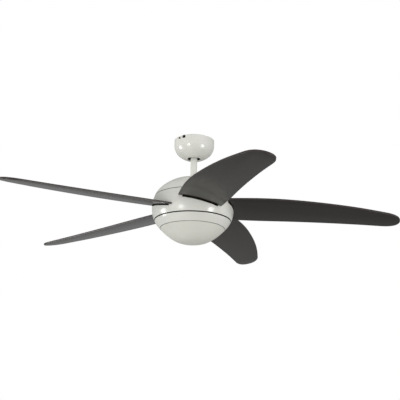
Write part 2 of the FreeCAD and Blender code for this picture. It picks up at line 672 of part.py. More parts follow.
# ---------------------------------------------------------------- rotating housing
def carrier_hole(radius):
    hole = cylinder(radius, BAND_BOTTOM_REL - 5, CARRIER_TOP_REL, CARRIER_SCREW_PCR, 0)
    return around(hole, BLADE_COUNT, BETWEEN_BLADES)


def housing_carrier():
    """Dished plate under the arms that carries the rotating housing."""
    top = CARRIER_TOP_REL
    step_top = BAND_BOTTOM_REL + 2 * SHEET
    bend = 0.8
    plate = spun_polygon([
        (CARRIER_IN, top - SHEET), (CARRIER_STEP_IN, top - SHEET), (CARRIER_STEP_OUT, step_top - SHEET),
        (CARRIER_OUT, step_top - SHEET), (CARRIER_OUT, step_top), (CARRIER_STEP_OUT + bend, step_top),
        (CARRIER_STEP_IN + bend, top), (CARRIER_IN, top),
    ])
    holes = carrier_hole(M4_HOLE)
    for radius in BRACKET_SCREW_RADII:
        holes += around(cylinder(M5_HOLE, top - 5, top + 5, radius, 0), BLADE_COUNT, BLADE_FIRST_ANGLE)
    return at_blade_plane(plate.cut(group(holes)))


def carrier_screws():
    seat = BAND_BOTTOM_REL + 2 * SHEET
    screw = screw_shape(M4_SHANK, M4_HEAD, M4_HEAD_HIGH, BAND_BOTTOM_REL + 0.2, seat, CARRIER_SCREW_PCR)
    return at_blade_plane(group(around(screw, BLADE_COUNT, BETWEEN_BLADES)))


def housing_band():
    """Widest part of the housing, with a tilted slot for each blade."""
    shell = spun_shell(BAND_OUTLINE, SHEET)
    flange = tube(FLANGE_OUT, FLANGE_IN, BAND_BOTTOM_REL, BAND_BOTTOM_REL + SHEET)
    ledge = tube(LEDGE_OUT, LEDGE_IN, LEDGE_REL, LEDGE_REL + SHEET)
    band = fuse_all([shell, flange, ledge]).cut(group(carrier_hole(M4_TAPPED)))
    band = at_blade_plane(band)
    side_low = -TONGUE_LEAD - SLOT_SIDE_ROOM
    side_high = -TONGUE_TRAIL + SLOT_SIDE_ROOM
    slot = box(TONGUE_END, 140, side_low, side_high, -SLOT_BELOW, BLADE_THICK + SLOT_ABOVE)
    return band.cut(group([placed_blade_part(slot, angle) for angle in blade_angles]))


def housing_cap():
    """Domed top of the housing; its collar drops inside the band on to the ledge."""
    shell = spun_shell(CAP_OUTLINE, SHEET)
    top = tube(CAP_OUTLINE[-1][0] + 1, CAP_HOLE_R, CAP_TOP_REL - SHEET, CAP_TOP_REL)
    collar = tube(COLLAR_OUT, COLLAR_IN, LEDGE_REL + SHEET, COLLAR_TOP_REL)
    joint = tube(COLLAR_OUT + SHEET / 2, COLLAR_IN, COLLAR_TOP_REL - SHEET, COLLAR_TOP_REL)
    return at_blade_plane(fuse_all([shell, top, collar, joint]))


def hub_cover():
    """Flat disc on the cap's top that closes it round the rod."""
    return at_blade_plane(tube(HUB_COVER_R, HUB_COVER_HOLE_R, CAP_TOP_REL, CAP_TOP_REL + SHEET))


# ---------------------------------------------------------------- light kit
def post_places():
    places = []
    for k in range(POST_COUNT):
        turn = math.radians(90 + 360 / POST_COUNT * k)
        places.append((POST_PCR * math.cos(turn), POST_PCR * math.sin(turn)))
    return places


def light_pan():
    """Fixed pan below the running gap, with notched lip for the glass."""
    plate_low = PAN_TOP_REL - SHEET
    shell = spun_shell(RING_OUTLINE, SHEET)
    plate = tube(PAN_PLATE_R, SHAFT_R + 2 * FIT, plate_low, PAN_TOP_REL)
    lip_out = RING_OUTLINE[-1][0]
    lip = spun_polygon([
        (PAN_LIP_IN, RING_BOTTOM_REL), (lip_out - 0.2, RING_BOTTOM_REL),
        (lip_out + 1.1, RING_BOTTOM_REL + SHEET), (PAN_LIP_IN, RING_BOTTOM_REL + SHEET),
    ])
    pan = fuse_all([shell, plate, lip])
    notch = sector(NOTCH_R, RING_BOTTOM_REL - 0.5, RING_BOTTOM_REL + 2.5, NOTCH_ANGLE)
    pan = pan.cut(group(around(notch, LUG_COUNT, GLASS_TWIST)))
    posts = [tube(POST_R, M3_TAPPED, REFLECTOR_TOP_REL, plate_low, *post) for post in post_places()]
    return at_blade_plane(fuse_all([pan] + posts))


def pan_nut():
    """Hexagon nut that holds the pan on the shaft's end."""
    high = PAN_TOP_REL - SHEET
    low = high - PAN_NUT_HIGH
    return at_blade_plane(hexagon(PAN_NUT_FLATS, low, high).cut(cylinder(SHAFT_R + FIT, low - 1, high + 1)))


def shaft_spacer():
    """Sleeve that keeps the pan clear of the lower bearing."""
    return at_blade_plane(tube(BEARING_INNER_R, SHAFT_R + FIT, PAN_TOP_REL, -BEARING_CENTRE - BEARING_HALF))


def run_capacitor():
    body = box(-62, -24, -14, 14, REFLECTOR_TOP_REL + 0.6, PAN_TOP_REL - SHEET)
    upright = [edge for edge in body.Edges if abs(edge.tangentAt(edge.FirstParameter).z) > 0.9]
    return at_blade_plane(body.makeFillet(2.0, upright))


def reflector():
    """White plate over the lamp, with a hole for each holder's wires."""
    low, high = REFLECTOR_LOW_REL, REFLECTOR_TOP_REL
    plate = tube(REFLECTOR_R, SHAFT_R + 0.5, low, high)
    for x in (-HOLDER_WIRE_X, HOLDER_WIRE_X):
        plate = plate.cut(cylinder(2.5, low - 1, high + 1, x, 0))
    for x, y in post_places():
        plate = plate.cut(cylinder(M3_HOLE, low - 1, high + 1, x, y))
    return at_blade_plane(plate)


def reflector_screws():
    screws = []
    for x, y in post_places():
        shank = cylinder(M3_SHANK, REFLECTOR_LOW_REL, REFLECTOR_TOP_REL + 7, x, y)
        head = cylinder(M3_HEAD, REFLECTOR_LOW_REL - M3_HEAD_HIGH, REFLECTOR_LOW_REL, x, y)
        screws.append(shank.fuse(head).removeSplitter())
    return at_blade_plane(group(screws))


def lamp_holders():
    """Pair of ceramic holders hung from the reflector, one at each end of the tube."""
    near, far = HOLDER_IN, HOLDER_OUT
    body = box(near, far, -HOLDER_HALF, HOLDER_HALF, HOLDER_LOW_REL, REFLECTOR_LOW_REL)
    well = rod_along((1, 0, 0), LAMP_CAP_R + 0.4, (LAMP_HALF, 0, LAMP_REL), LAMP_CAP_LONG + 1)
    return at_blade_plane(group(around(body.cut(well), 2)))


def halogen_lamp():
    """Double-ended quartz tube with ceramic caps."""
    tube_body = rod_along((1, 0, 0), LAMP_R, (-LAMP_HALF, 0, LAMP_REL), 2 * LAMP_HALF)
    cap = rod_along((1, 0, 0), LAMP_CAP_R, (LAMP_HALF, 0, LAMP_REL), LAMP_CAP_LONG)
    return at_blade_plane(fuse_all([tube_body, cap, turned(cap, 180)]))


def glass_gasket():
    """Soft ring under the reflector's rim that the glass closes against."""
    high = REFLECTOR_LOW_REL
    return at_blade_plane(tube(GASKET_OUT, GASKET_IN, high - GASKET_HIGH, high))


def glass_bowl():
    """Opal bowl with an upright neck and three lugs that twist into the pan's lip."""
    neck_in = GLASS_NECK_R - GLASS_WALL
    inner_points = inset(GLASS_OUTLINE, GLASS_WALL)
    inner_points[0] = (neck_in, GLASS_TOP_REL - 2.5)
    inner_points[-1] = (0, GLASS_OUTLINE[-1][1] + GLASS_WALL)
    path = [
        inner_points[0], (neck_in, GLASS_RIM_REL), (GLASS_NECK_R, GLASS_RIM_REL),
        (GLASS_NECK_R, GLASS_TOP_REL), GLASS_OUTLINE[0],
    ]
    rim = Part.makePolygon(in_profile(path))
    axis_line = profile_line(GLASS_OUTLINE[-1], inner_points[-1])
    bowl = spin([smooth_edge(GLASS_OUTLINE), axis_line, smooth_edge(inner_points)] + rim.Edges)
    lug = sector(LUG_R, LUG_LOW_REL, LUG_LOW_REL + LUG_HIGH, LUG_ANGLE)
    lug = lug.cut(cylinder(GLASS_NECK_R - 1, LUG_LOW_REL - 1, LUG_LOW_REL + LUG_HIGH + 1))
    return at_blade_plane(fuse_all([bowl] + around(lug, LUG_COUNT)))


# ---------------------------------------------------------------- all the pieces
nodes["hanger_bracket"] = hanger_bracket()
nodes["canopy"] = canopy()
nodes["canopy_screws"] = canopy_screws()
nodes["terminal_block"] = terminal_block()
nodes["seat_liner"] = seat_liner()
nodes["hanger_ball"] = hanger_ball()
nodes["ball_pin"] = ball_pin()
nodes["ball_set_screw"] = ball_set_screw()
nodes["downrod"] = downrod()
nodes["coupling"] = coupling()
nodes["coupling_pin"] = coupling_pin()
nodes["pin_clip"] = pin_clip()
nodes["coupling_set_screws"] = coupling_set_screws()
nodes["motor_shaft"] = motor_shaft()
nodes["stator_core"] = stator_core()
nodes["stator_windings"] = stator_windings()
nodes["rotor_laminations"] = rotor_laminations()
nodes["rotor_cage"] = rotor_cage()
nodes["motor_top_cover"] = motor_top_cover()
nodes["motor_bottom_cover"] = motor_bottom_cover()
nodes["motor_cover_screws"] = motor_cover_screws()
for place, centre in (("upper", BEARING_CENTRE), ("lower", -BEARING_CENTRE)):
    nodes[place + "_bearing_inner"] = bearing_inner(centre)
    nodes[place + "_bearing_outer"] = bearing_outer(centre)
    nodes[place + "_bearing_balls"] = bearing_balls(centre)
board = blade()
for number, angle in enumerate(blade_angles, 1):
    nodes["blade_%d" % number] = placed_blade_part(board, angle)
    nodes["blade_bracket_%d" % number] = blade_bracket(angle)
nodes["blade_screws"] = blade_screws()
nodes["bracket_screws"] = bracket_screws()
nodes["housing_carrier"] = housing_carrier()
nodes["carrier_screws"] = carrier_screws()
nodes["housing_band"] = housing_band()
nodes["housing_cap"] = housing_cap()
nodes["hub_cover"] = hub_cover()
nodes["light_pan"] = light_pan()
nodes["pan_nut"] = pan_nut()
nodes["shaft_spacer"] = shaft_spacer()
nodes["run_capacitor"] = run_capacitor()
nodes["reflector"] = reflector()
nodes["reflector_screws"] = reflector_screws()
nodes["lamp_holders"] = lamp_holders()
nodes["halogen_lamp"] = halogen_lamp()
nodes["glass_gasket"] = glass_gasket()
nodes["glass_bowl"] = glass_bowl()

os.makedirs("parts", exist_ok=True)
for name, shape in nodes.items():
    if not shape.isValid() or not shape.Solids:
        print("PROBLEM", name, shape.isValid(), len(shape.Solids))
    shape.exportStep("parts/%s.step" % name)
    print("%-24s solids %3d  volume %10.1f mm3" % (name, len(shape.Solids), shape.Volume))
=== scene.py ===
import json
import math

import bmesh
import bpy
from mathutils import Matrix, Vector


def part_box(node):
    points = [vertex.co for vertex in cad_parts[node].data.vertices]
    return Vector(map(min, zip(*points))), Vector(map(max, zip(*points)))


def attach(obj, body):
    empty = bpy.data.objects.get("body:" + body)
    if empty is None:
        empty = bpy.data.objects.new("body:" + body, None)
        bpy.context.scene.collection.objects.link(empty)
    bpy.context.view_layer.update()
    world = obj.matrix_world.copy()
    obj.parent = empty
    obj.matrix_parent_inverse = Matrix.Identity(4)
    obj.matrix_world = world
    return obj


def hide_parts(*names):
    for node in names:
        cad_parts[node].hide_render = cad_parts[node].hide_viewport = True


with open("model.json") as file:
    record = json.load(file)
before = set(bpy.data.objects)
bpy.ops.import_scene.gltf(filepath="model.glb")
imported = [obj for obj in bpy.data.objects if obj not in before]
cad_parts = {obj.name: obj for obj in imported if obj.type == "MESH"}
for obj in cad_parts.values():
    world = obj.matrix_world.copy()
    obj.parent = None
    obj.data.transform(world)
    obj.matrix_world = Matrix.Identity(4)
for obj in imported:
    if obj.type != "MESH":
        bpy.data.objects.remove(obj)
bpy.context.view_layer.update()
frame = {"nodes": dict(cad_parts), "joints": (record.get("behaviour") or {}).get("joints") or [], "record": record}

# ---------------------------------------------------------------- sizes, in metres
MM = 0.001
SPIN_STEPS = 256
BAND_STEPS = 360
SMOOTH_UP_TO = 32.0
CAD_BEVEL = 0.25 * MM
EDGE_ROUND = 0.4
joints = {joint["name"]: joint for joint in frame["joints"]}
BLADE_PLANE = joints["fan_spin"]["pos_m"][2]

# Blades: angles in degrees, outline as (radius, offset towards the leading edge) in mm.
BLADE_COUNT = 5
BLADE_FIRST_ANGLE = -1.96
BLADE_PITCH = 11.3
BLADE_DROOP = 2.65
BLADE_THICK = 6.0 * MM
BLADE_ARRIS = 1.0 * MM
BLADE_EDGE = [
    (104.5, 80), (178, 89.3), (265, 94.3), (365, 89.4), (450, 79.4), (540, 62.8), (600, 47.6),
    (632, 36.4), (652, 19.5), (660, -3), (652, -27), (630, -39.3), (598, -41.6), (540, -40.8),
    (417, -42.8), (294, -48.8), (200, -55.2), (118.5, -58),
]
BLADE_ROOT = [(123.5, -46), (92, -46), (92, 66.5), (114, 66.5)]
SLOT_LOW = (92.0, -68.0, -4.0)
SLOT_HIGH = (140.0, 47.5, 7.5)

# Outlines of the round body: (radius, height above the blade plane) in mm.
BAND_OUTLINE = [
    (122.9, -37.9), (126.2, -30), (129.8, -15), (131, 0), (129.9, 15), (126.6, 30), (124.2, 37.2),
]
CAP_OUTLINE = [
    (123.7, 38.9), (118.4, 49.6), (108.5, 62.4), (95.8, 73.4), (82.3, 82.7), (69.2, 89.9), (54.8, 94.9),
    (40, 97),
]
RING_OUTLINE = [(121.3, -41.2), (117.2, -48.5), (111.2, -56.5), (103.8, -64.8)]
GLASS_OUTLINE = [
    (102.4, -65.8), (94, -74.2), (82.6, -84.3), (70.2, -93.8), (57.4, -101.5), (44, -107.3),
    (29.5, -110.6), (15, -111.9), (0, -112.3),
]
SHEET = 1.5

# Hidden edges of the housing, heights above the blade plane in mm.
CAP_TOP = 97
CAP_HOLE_R = 34
HUB_COVER_R = 40
HUB_COVER_HOLE_R = 14
COLLAR_R = 121.3
COLLAR_IN = 119.8
COLLAR_TOP = 42
CAP_BACK_ABOVE = 44
LEDGE = 30
LEDGE_IN = 119
FLANGE_IN = 109

# Light pan and glass, in the same measures.
PAN_TOP = -41.2
PAN_HOLE_R = 8.6
PAN_PLATE_IN = 118.6
PAN_LIP = -64.8
PAN_LIP_IN = 100
PAN_LIP_OUT = 103.6
POST_CIRCLE = 88 * MM
POST_COUNT = 3
POST_FIRST_ANGLE = 90
POST_PROFILE = [(1.6, -54), (4, -54), (4, -42.5), (1.6, -42.5)]
NOTCH = (95, 102.3)
NOTCH_WIDTH = 24
LUG = (97.5, 101.8)
LUG_LOW = -62.6
LUG_HIGH = -60.0
LUG_WIDTH = 18
LUG_COUNT = 3
GLASS_TWIST = 30.0
GLASS_WALL = 3.0
GLASS_NECK = [
    (95.5, -67.5), (95.5, -57.9), (96.0, -57.5), (98.0, -57.5), (98.5, -57.9), (98.5, -65.2),
    (99.1, -65.8),
]


# ---------------------------------------------------------------- camera
CAMERA_DISTANCE = 2.951
CAMERA_BELOW = math.radians(16.19)
CAMERA_AIM = (0.02235, 0.0, 0.0324)
CAMERA_ROLL = math.radians(1.16)
CAMERA_LENS = 82.94


def add_camera():
    """Below the fan and in front of it, looking up; the aim is measured from the blade plane."""
    data = bpy.data.cameras.new("camera")
    data.lens = CAMERA_LENS
    data.sensor_width = 36.0
    data.clip_start = 0.05
    data.clip_end = 100.0
    camera = bpy.data.objects.new("camera", data)
    hub = Vector((0, 0, BLADE_PLANE))
    away = Vector((0, -math.cos(CAMERA_BELOW), -math.sin(CAMERA_BELOW)))
    place = hub + away * CAMERA_DISTANCE
    forward = (hub + Vector(CAMERA_AIM) - place).normalized()
    level_right = forward.cross(Vector((0, 0, 1))).normalized()
    level_up = level_right.cross(forward)
    right = level_right * math.cos(CAMERA_ROLL) + level_up * math.sin(CAMERA_ROLL)
    up = right.cross(forward)
    turn = Matrix((right, up, -forward)).transposed().to_4x4()
    camera.matrix_world = Matrix.Translation(place) @ turn
    bpy.context.scene.collection.objects.link(camera)
    bpy.context.scene.camera = camera


# ---------------------------------------------------------------- mesh helpers
def link(name, mesh, materials=()):
    piece = bpy.data.objects.new(name, mesh)
    for material in materials:
        mesh.materials.append(material)
    bpy.context.scene.collection.objects.link(piece)
    return piece


def smooth_line(points, steps=8):
    """A cubic curve through the points, with chord-length spacing (natural at its ends)."""
    count = len(points)
    knots = [0.0]
    for before, after in zip(points, points[1:]):
        knots.append(knots[-1] + math.dist(before, after))
    slopes = [natural_slopes(knots, [point[axis] for point in points]) for axis in (0, 1)]
    line = []
    for k in range(count - 1):
        span = knots[k + 1] - knots[k]
        for step in range(steps):
            t = step / steps
            spot = []
            for axis in (0, 1):
                start, end = points[k][axis], points[k + 1][axis]
                bend_a = slopes[axis][k] * span - (end - start)
                bend_b = (end - start) - slopes[axis][k + 1] * span
                spot.append((1 - t) * start + t * end + t * (1 - t) * ((1 - t) * bend_a + t * bend_b))
            line.append(tuple(spot))
    line.append(tuple(points[-1]))
    return line


def natural_slopes(knots, values):
    """First derivatives at the knots of the natural cubic spline, by the tridiagonal rule."""
    count = len(knots)
    lower, middle, upper, right = [0.0] * count, [0.0] * count, [0.0] * count, [0.0] * count
    for k in range(count):
        if k > 0:
            before = 1 / (knots[k] - knots[k - 1])
            lower[k] = before
            middle[k] += 2 * before
            right[k] += 3 * (values[k] - values[k - 1]) * before * before
        if k < count - 1:
            after = 1 / (knots[k + 1] - knots[k])
            upper[k] = after
            middle[k] += 2 * after
            right[k] += 3 * (values[k + 1] - values[k]) * after * after
    for k in range(1, count):
        share = lower[k] / middle[k - 1]
        middle[k] -= share * upper[k - 1]
        right[k] -= share * right[k - 1]
    slopes = [0.0] * count
    slopes[-1] = right[-1] / middle[-1]
    for k in range(count - 2, -1, -1):
        slopes[k] = (right[k] - upper[k] * slopes[k + 1]) / middle[k]
    return slopes


def inset(points, wall):
    """The outline moved inward, square to itself, by the wall."""
    moved = []
    for k, (radius, height) in enumerate(points):
        before = points[max(k - 1, 0)]
        after = points[min(k + 1, len(points) - 1)]
        along_r = after[0] - before[0]
        along_h = after[1] - before[1]
        length = math.hypot(along_r, along_h)
        side = 1 if along_h > 0 else -1
        moved.append((radius - side * wall * along_h / length, height + side * wall * along_r / length))
    return moved


SOFT_STEPS = 3
SOFT_BEND = math.radians(25)


def soften(profile, radius):
    """A closed profile with each sharp corner replaced by a small curve."""
    result = []
    count = len(profile)
    for k, corner in enumerate(profile):
        before, after = Vector(profile[k - 1]), Vector(profile[(k + 1) % count])
        here = Vector(corner)
        in_length, out_length = (here - before).length, (after - here).length
        turn = (here - before).angle(after - here, 0.0)
        if turn < SOFT_BEND:
            result.append(tuple(here))
            continue
        cut = min(radius, 0.4 * in_length, 0.4 * out_length)
        start = here + (before - here) * cut / in_length
        end = here + (after - here) * cut / out_length
        for step in range(SOFT_STEPS + 1):
            t = step / SOFT_STEPS
            result.append(tuple(start * (1 - t) ** 2 + here * 2 * t * (1 - t) + end * t ** 2))
    return result


def away_from(outline, depth=0.9):
    """A test that is true for a place in the profile more than this depth from the outer line."""
    line = smooth_line(outline, 40)

    def test(radius, level):
        return min(math.dist((radius, level), point) for point in line) > depth
    return test


def spun(name, profile, materials=(), height=0.0, inner=None, steps=SPIN_STEPS):
    """A solid of revolution from a closed profile in mm; faces that pass the inner test get slot 1."""
    bm = bmesh.new()
    rings = []
    for radius, level in profile:
        z = level * MM + height
        if radius < 1e-6:
            rings.append([bm.verts.new((0, 0, z))] * steps)
            continue
        ring = []
        for k in range(steps):
            turn = 2 * math.pi * k / steps
            ring.append(bm.verts.new((radius * MM * math.cos(turn), radius * MM * math.sin(turn), z)))
        rings.append(ring)
    for first, ring in enumerate(rings):
        following = rings[(first + 1) % len(rings)]
        start, end = profile[first], profile[(first + 1) % len(rings)]
        is_inner = inner is not None and inner((start[0] + end[0]) / 2, (start[1] + end[1]) / 2)
        for k in range(steps):
            corners = [ring[k], ring[(k + 1) % steps], following[(k + 1) % steps], following[k]]
            unique = [vert for n, vert in enumerate(corners) if vert not in corners[:n]]
            if len(unique) >= 3:
                bm.faces.new(unique).material_index = 1 if is_inner else 0
    bmesh.ops.recalc_face_normals(bm, faces=bm.faces)
    return finish_mesh(name, bm, materials)


SLICE_STEPS = 12


def ring_slice(name, inner, outer, low, high, middle, width):
    """A closed slice of a ring, in mm and degrees; it serves as a lug or as a cutter."""
    bm = bmesh.new()
    sections = []
    for k in range(SLICE_STEPS + 1):
        turn = math.radians(middle + width * (k / SLICE_STEPS - 0.5))
        across = Vector((math.cos(turn), math.sin(turn), 0)) * MM
        corners = [(inner, low), (outer, low), (outer, high), (inner, high)]
        sections.append([bm.verts.new(across * r + Vector((0, 0, z * MM))) for r, z in corners])
    for here, there in zip(sections, sections[1:]):
        for k in range(4):
            bm.faces.new([here[k], here[(k + 1) % 4], there[(k + 1) % 4], there[k]])
    bm.faces.new(sections[0])
    bm.faces.new(sections[-1])
    bmesh.ops.recalc_face_normals(bm, faces=bm.faces)
    return finish_mesh(name, bm, [])


def merge(piece, parts):
    """Adds the other parts' faces to the piece, and removes the parts."""
    bm = bmesh.new()
    bm.from_mesh(piece.data)
    for part in parts:
        part.data.transform(part.matrix_world)
        bm.from_mesh(part.data)
        bpy.data.objects.remove(part)
    bm.to_mesh(piece.data)
    bm.free()


def mark_sharp(bm, crease):
    """Edges are sharp where their faces turn by more than the crease angle, in degrees."""
    for edge in bm.edges:
        if len(edge.link_faces) == 2:
            edge.smooth = edge.calc_face_angle() < math.radians(crease)


def finish_mesh(name, bm, materials, crease=SMOOTH_UP_TO):
    """The mesh as a linked object, shaded smooth up to the crease angle."""
    for face in bm.faces:
        face.smooth = True
    mark_sharp(bm, crease)
    mesh = bpy.data.meshes.new(name)
    bm.to_mesh(mesh)
    bm.free()
    return link(name, mesh, materials)


def settle(piece):
    """Applies the piece's modifiers to its mesh."""
    graph = bpy.context.evaluated_depsgraph_get()
    shaped = bpy.data.meshes.new_from_object(piece.evaluated_get(graph))
    piece.modifiers.clear()
    old = piece.data
    piece.data = shaped
    bpy.data.meshes.remove(old)


def cut_away(piece, cutters):
    """Cuts each cutter out of the piece and removes the cutters."""
    for cutter in cutters:
        cut = piece.modifiers.new("cut", "BOOLEAN")
        cut.object = cutter
        cut.operation = "DIFFERENCE"
        cut.solver = "EXACT"
    settle(piece)
    for cutter in cutters:
        bpy.data.objects.remove(cutter)
    bm = bmesh.new()
    bm.from_mesh(piece.data)
    mark_sharp(bm, SMOOTH_UP_TO)
    bm.to_mesh(piece.data)
    bm.free()


def block(name, low, high, place=Matrix.Identity(4)):
    """A cutter with its corners at low and high, then put in its place."""
    bm = bmesh.new()
    corners = [(x, y, z) for x in (low[0], high[0]) for y in (low[1], high[1]) for z in (low[2], high[2])]
    verts = [bm.verts.new(place @ Vector(corner)) for corner in corners]
    for quad in ((0, 1, 3, 2), (4, 6, 7, 5), (0, 4, 5, 1), (2, 3, 7, 6), (0, 2, 6, 4), (1, 5, 7, 3)):
        bm.faces.new([verts[k] for k in quad])
    bmesh.ops.recalc_face_normals(bm, faces=bm.faces)
    mesh = bpy.data.meshes.new(name)
    bm.to_mesh(mesh)
    bm.free()
    return link(name, mesh)


def place_on(piece, body, slot, *nodes):
    """Rides the piece on its body and hides the CAD nodes that it stands for; the slot, its finish, is not used.
    """
    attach(piece, body)
    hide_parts(*nodes)


# ---------------------------------------------------------------- materials
class Shader:
    """A new material with a few shorthands for building its nodes."""

    def __init__(self, name):
        self.material = bpy.data.materials.new(name)
        self.material.use_nodes = True
        self.tree = self.material.node_tree
        self.main = self.tree.nodes["Principled BSDF"]
        self.place = self.node("ShaderNodeTexCoord").outputs["Object"]

    def node(self, kind, **settings):
        made = self.tree.nodes.new(kind)
        for key, value in settings.items():
            setattr(made, key, value)
        return made

    def join(self, source, target):
        self.tree.links.new(source, target)

    def set(self, **values):
        for key, value in values.items():
            self.main.inputs[key.replace("_", " ")].default_value = value

    def stretched(self, scale, shift=None):
        """The shader's places scaled by (x, y, z), and shifted if a shift is given."""
        mapping = self.node("ShaderNodeMapping")
        mapping.inputs["Scale"].default_value = scale
        self.join(self.place, mapping.inputs["Vector"])
        if shift is not None:
            self.join(shift, mapping.inputs["Location"])
        return mapping.outputs["Vector"]

    def noise(self, scale, detail=2.0, roughness=0.5, place=None, distortion=0.0):
        made = self.node("ShaderNodeTexNoise")
        made.inputs["Scale"].default_value = scale
        made.inputs["Detail"].default_value = detail
        made.inputs["Roughness"].default_value = roughness
        made.inputs["Distortion"].default_value = distortion
        self.join(place or self.place, made.inputs["Vector"])
        return made.outputs["Fac"]

    def spread(self, value, low, high, source_low=0.3, source_high=0.7):
        """The value, from its source range to the range low to high."""
        made = self.node("ShaderNodeMapRange")
        made.inputs["From Min"].default_value = source_low
        made.inputs["From Max"].default_value = source_high
        made.inputs["To Min"].default_value = low
        made.inputs["To Max"].default_value = high
        self.join(value, made.inputs["Value"])
        return made.outputs["Result"]

    def mix(self, amount, first, second):
        """A colour between two colours or colour outputs."""
        made = self.node("ShaderNodeMix", data_type="RGBA")
        self.join(amount, made.inputs[0])
        for socket, value in ((made.inputs[6], first), (made.inputs[7], second)):
            if isinstance(value, tuple):
                socket.default_value = (*value, 1.0)
            else:
                self.join(value, socket)
        return made.outputs[2]

    def colour(self, output):
        self.join(output, self.main.inputs["Base Color"])

    def roughness(self, output):
        self.join(output, self.main.inputs["Roughness"])

    def bump(self, height, distance):
        made = self.node("ShaderNodeBump")
        made.inputs["Distance"].default_value = distance
        made.inputs["Strength"].default_value = 1.0
        self.join(height, made.inputs["Height"])
        self.join(made.outputs["Normal"], self.main.inputs["Normal"])


def shade(colour, factor):
    return tuple(channel * factor for channel in colour)


FINE_BUMP = 0.02 * MM


def paint(name, colour, rough=0.2, variation=0.03):
    """Sprayed gloss paint: a faint orange peel and slow changes of tone."""
    s = Shader(name)
    tone = s.spread(s.noise(9.0, 3.0), 0.0, 1.0)
    s.colour(s.mix(tone, shade(colour, 1 - variation), shade(colour, 1 + variation)))
    s.roughness(s.spread(s.noise(60.0, 3.0), rough * 0.85, rough * 1.2))
    s.bump(s.noise(420.0, 2.0), FINE_BUMP)
    s.set(IOR=1.5)
    return s.material


def metal(name, colour, rough=0.35, grain=(1.0, 1.0, 1.0), scale=400.0, bump=FINE_BUMP):
    """Plated, turned or cast metal: tone and roughness follow a stretched grain."""
    s = Shader(name)
    s.set(Metallic=1.0)
    lines = s.noise(scale, 4.0, 0.6, s.stretched(grain))
    clouds = s.noise(35.0, 4.0)
    s.colour(s.mix(s.spread(clouds, 0.0, 1.0), shade(colour, 0.86), shade(colour, 1.1)))
    s.roughness(s.spread(lines, rough * 0.75, rough * 1.3))
    s.bump(lines, bump)
    return s.material


def plastic(name, colour, rough=0.45, scale=900.0, bump=FINE_BUMP):
    """Moulded plastic, ceramic or rubber with a fine texture."""
    s = Shader(name)
    tone = s.spread(s.noise(30.0, 3.0), 0.0, 1.0)
    s.colour(s.mix(tone, shade(colour, 0.92), shade(colour, 1.08)))
    fine = s.noise(scale, 3.0)
    s.roughness(s.spread(fine, rough * 0.85, rough * 1.15))
    s.bump(fine, bump)
    return s.material


WAVE_PERIOD = 3.1831


def striped(name, dark, light, axis, pitch, metallic, rough):
    """Fine bands along one axis: stacked laminations, or turns of wire."""
    s = Shader(name)
    s.set(Metallic=metallic)
    wave = s.node("ShaderNodeTexWave", wave_type="BANDS", bands_direction=axis, wave_profile="SIN")
    wave.inputs["Scale"].default_value = 1.0 / pitch / WAVE_PERIOD
    wave.inputs["Distortion"].default_value = 0.4
    s.join(s.place, wave.inputs["Vector"])
    s.colour(s.mix(wave.outputs["Fac"], dark, light))
    s.roughness(s.spread(wave.outputs["Fac"], rough * 1.3, rough * 0.8, 0.0, 1.0))
    s.bump(wave.outputs["Fac"], pitch * 0.4)
    return s.material


def dark_wood():
    """Wenge-look laminate: fine dark lines along the blade, under a half-gloss lacquer."""
    s = Shader("dark_wood")
    s.place = s.node("ShaderNodeAttribute", attribute_name="grain").outputs["Vector"]
    info = s.node("ShaderNodeObjectInfo")
    spread = s.node("ShaderNodeVectorMath", operation="SCALE")
    spread.inputs[0].default_value = (3.0, 5.0, 7.0)
    s.join(info.outputs["Random"], spread.inputs["Scale"])
    shift = spread.outputs["Vector"]
    wide = s.noise(26.0, 3.0, 0.5, s.stretched((0.10, 1.0, 1.0), shift), 0.4)
    fine = s.noise(330.0, 5.0, 0.65, s.stretched((0.035, 1.0, 1.0), shift))
    pores = s.noise(900.0, 2.0, 0.5, s.stretched((0.02, 1.0, 1.0), shift))
    base = s.mix(s.spread(wide, 0.0, 1.0), WOOD_DARK, WOOD_LIGHT)
    lined = s.mix(s.spread(fine, 0.0, 0.55, 0.45, 0.65), base, WOOD_LINE)
    s.colour(s.mix(s.spread(pores, 0.0, 0.6, 0.56, 0.66), lined, WOOD_PORE))
    s.roughness(s.spread(fine, WOOD_ROUGH * 0.9, WOOD_ROUGH * 1.15))
    s.bump(s.spread(fine, 0.0, 1.0), 0.00003)
    s.set(Specular_IOR_Level=WOOD_SPECULAR)
    return s.material


def opal_glass():
    """Etched white glass: milky body with a soft surface."""
    s = Shader("opal_glass")
    tone = s.spread(s.noise(12.0, 3.0), 0.0, 1.0)
    s.colour(s.mix(tone, shade(GLASS_COLOUR, 0.98), shade(GLASS_COLOUR, 1.02)))
    s.roughness(s.spread(s.noise(80.0, 3.0), 0.30, 0.40))
    s.bump(s.noise(700.0, 2.0), 0.000008)
    s.set(Subsurface_Weight=0.35, Subsurface_Scale=0.004)
    s.main.inputs["Subsurface Radius"].default_value = (1.0, 0.95, 0.85)
    return s.material


def quartz():
    """Clear lamp envelope with faint changes of tone."""
    s = Shader("lamp_quartz")
    s.colour(s.mix(s.spread(s.noise(40.0, 2.0), 0.0, 1.0), (0.90, 0.90, 0.88), (0.96, 0.96, 0.95)))
    s.roughness(s.spread(s.noise(120.0, 2.0), 0.02, 0.08))
    s.set(Transmission_Weight=0.85, IOR=1.46)
    return s.material


WHITE = (0.640, 0.642, 0.595)
WOOD_DARK = (0.0100, 0.0084, 0.0066)
WOOD_LIGHT = (0.0172, 0.0144, 0.0115)
WOOD_LINE = (0.0080, 0.0072, 0.0064)
WOOD_PORE = (0.0045, 0.0042, 0.0038)
WOOD_EDGE = (0.018, 0.011, 0.009)
WOOD_ROUGH = 0.19
WOOD_SPECULAR = 0.22
GLASS_COLOUR = (0.632, 0.632, 0.577)

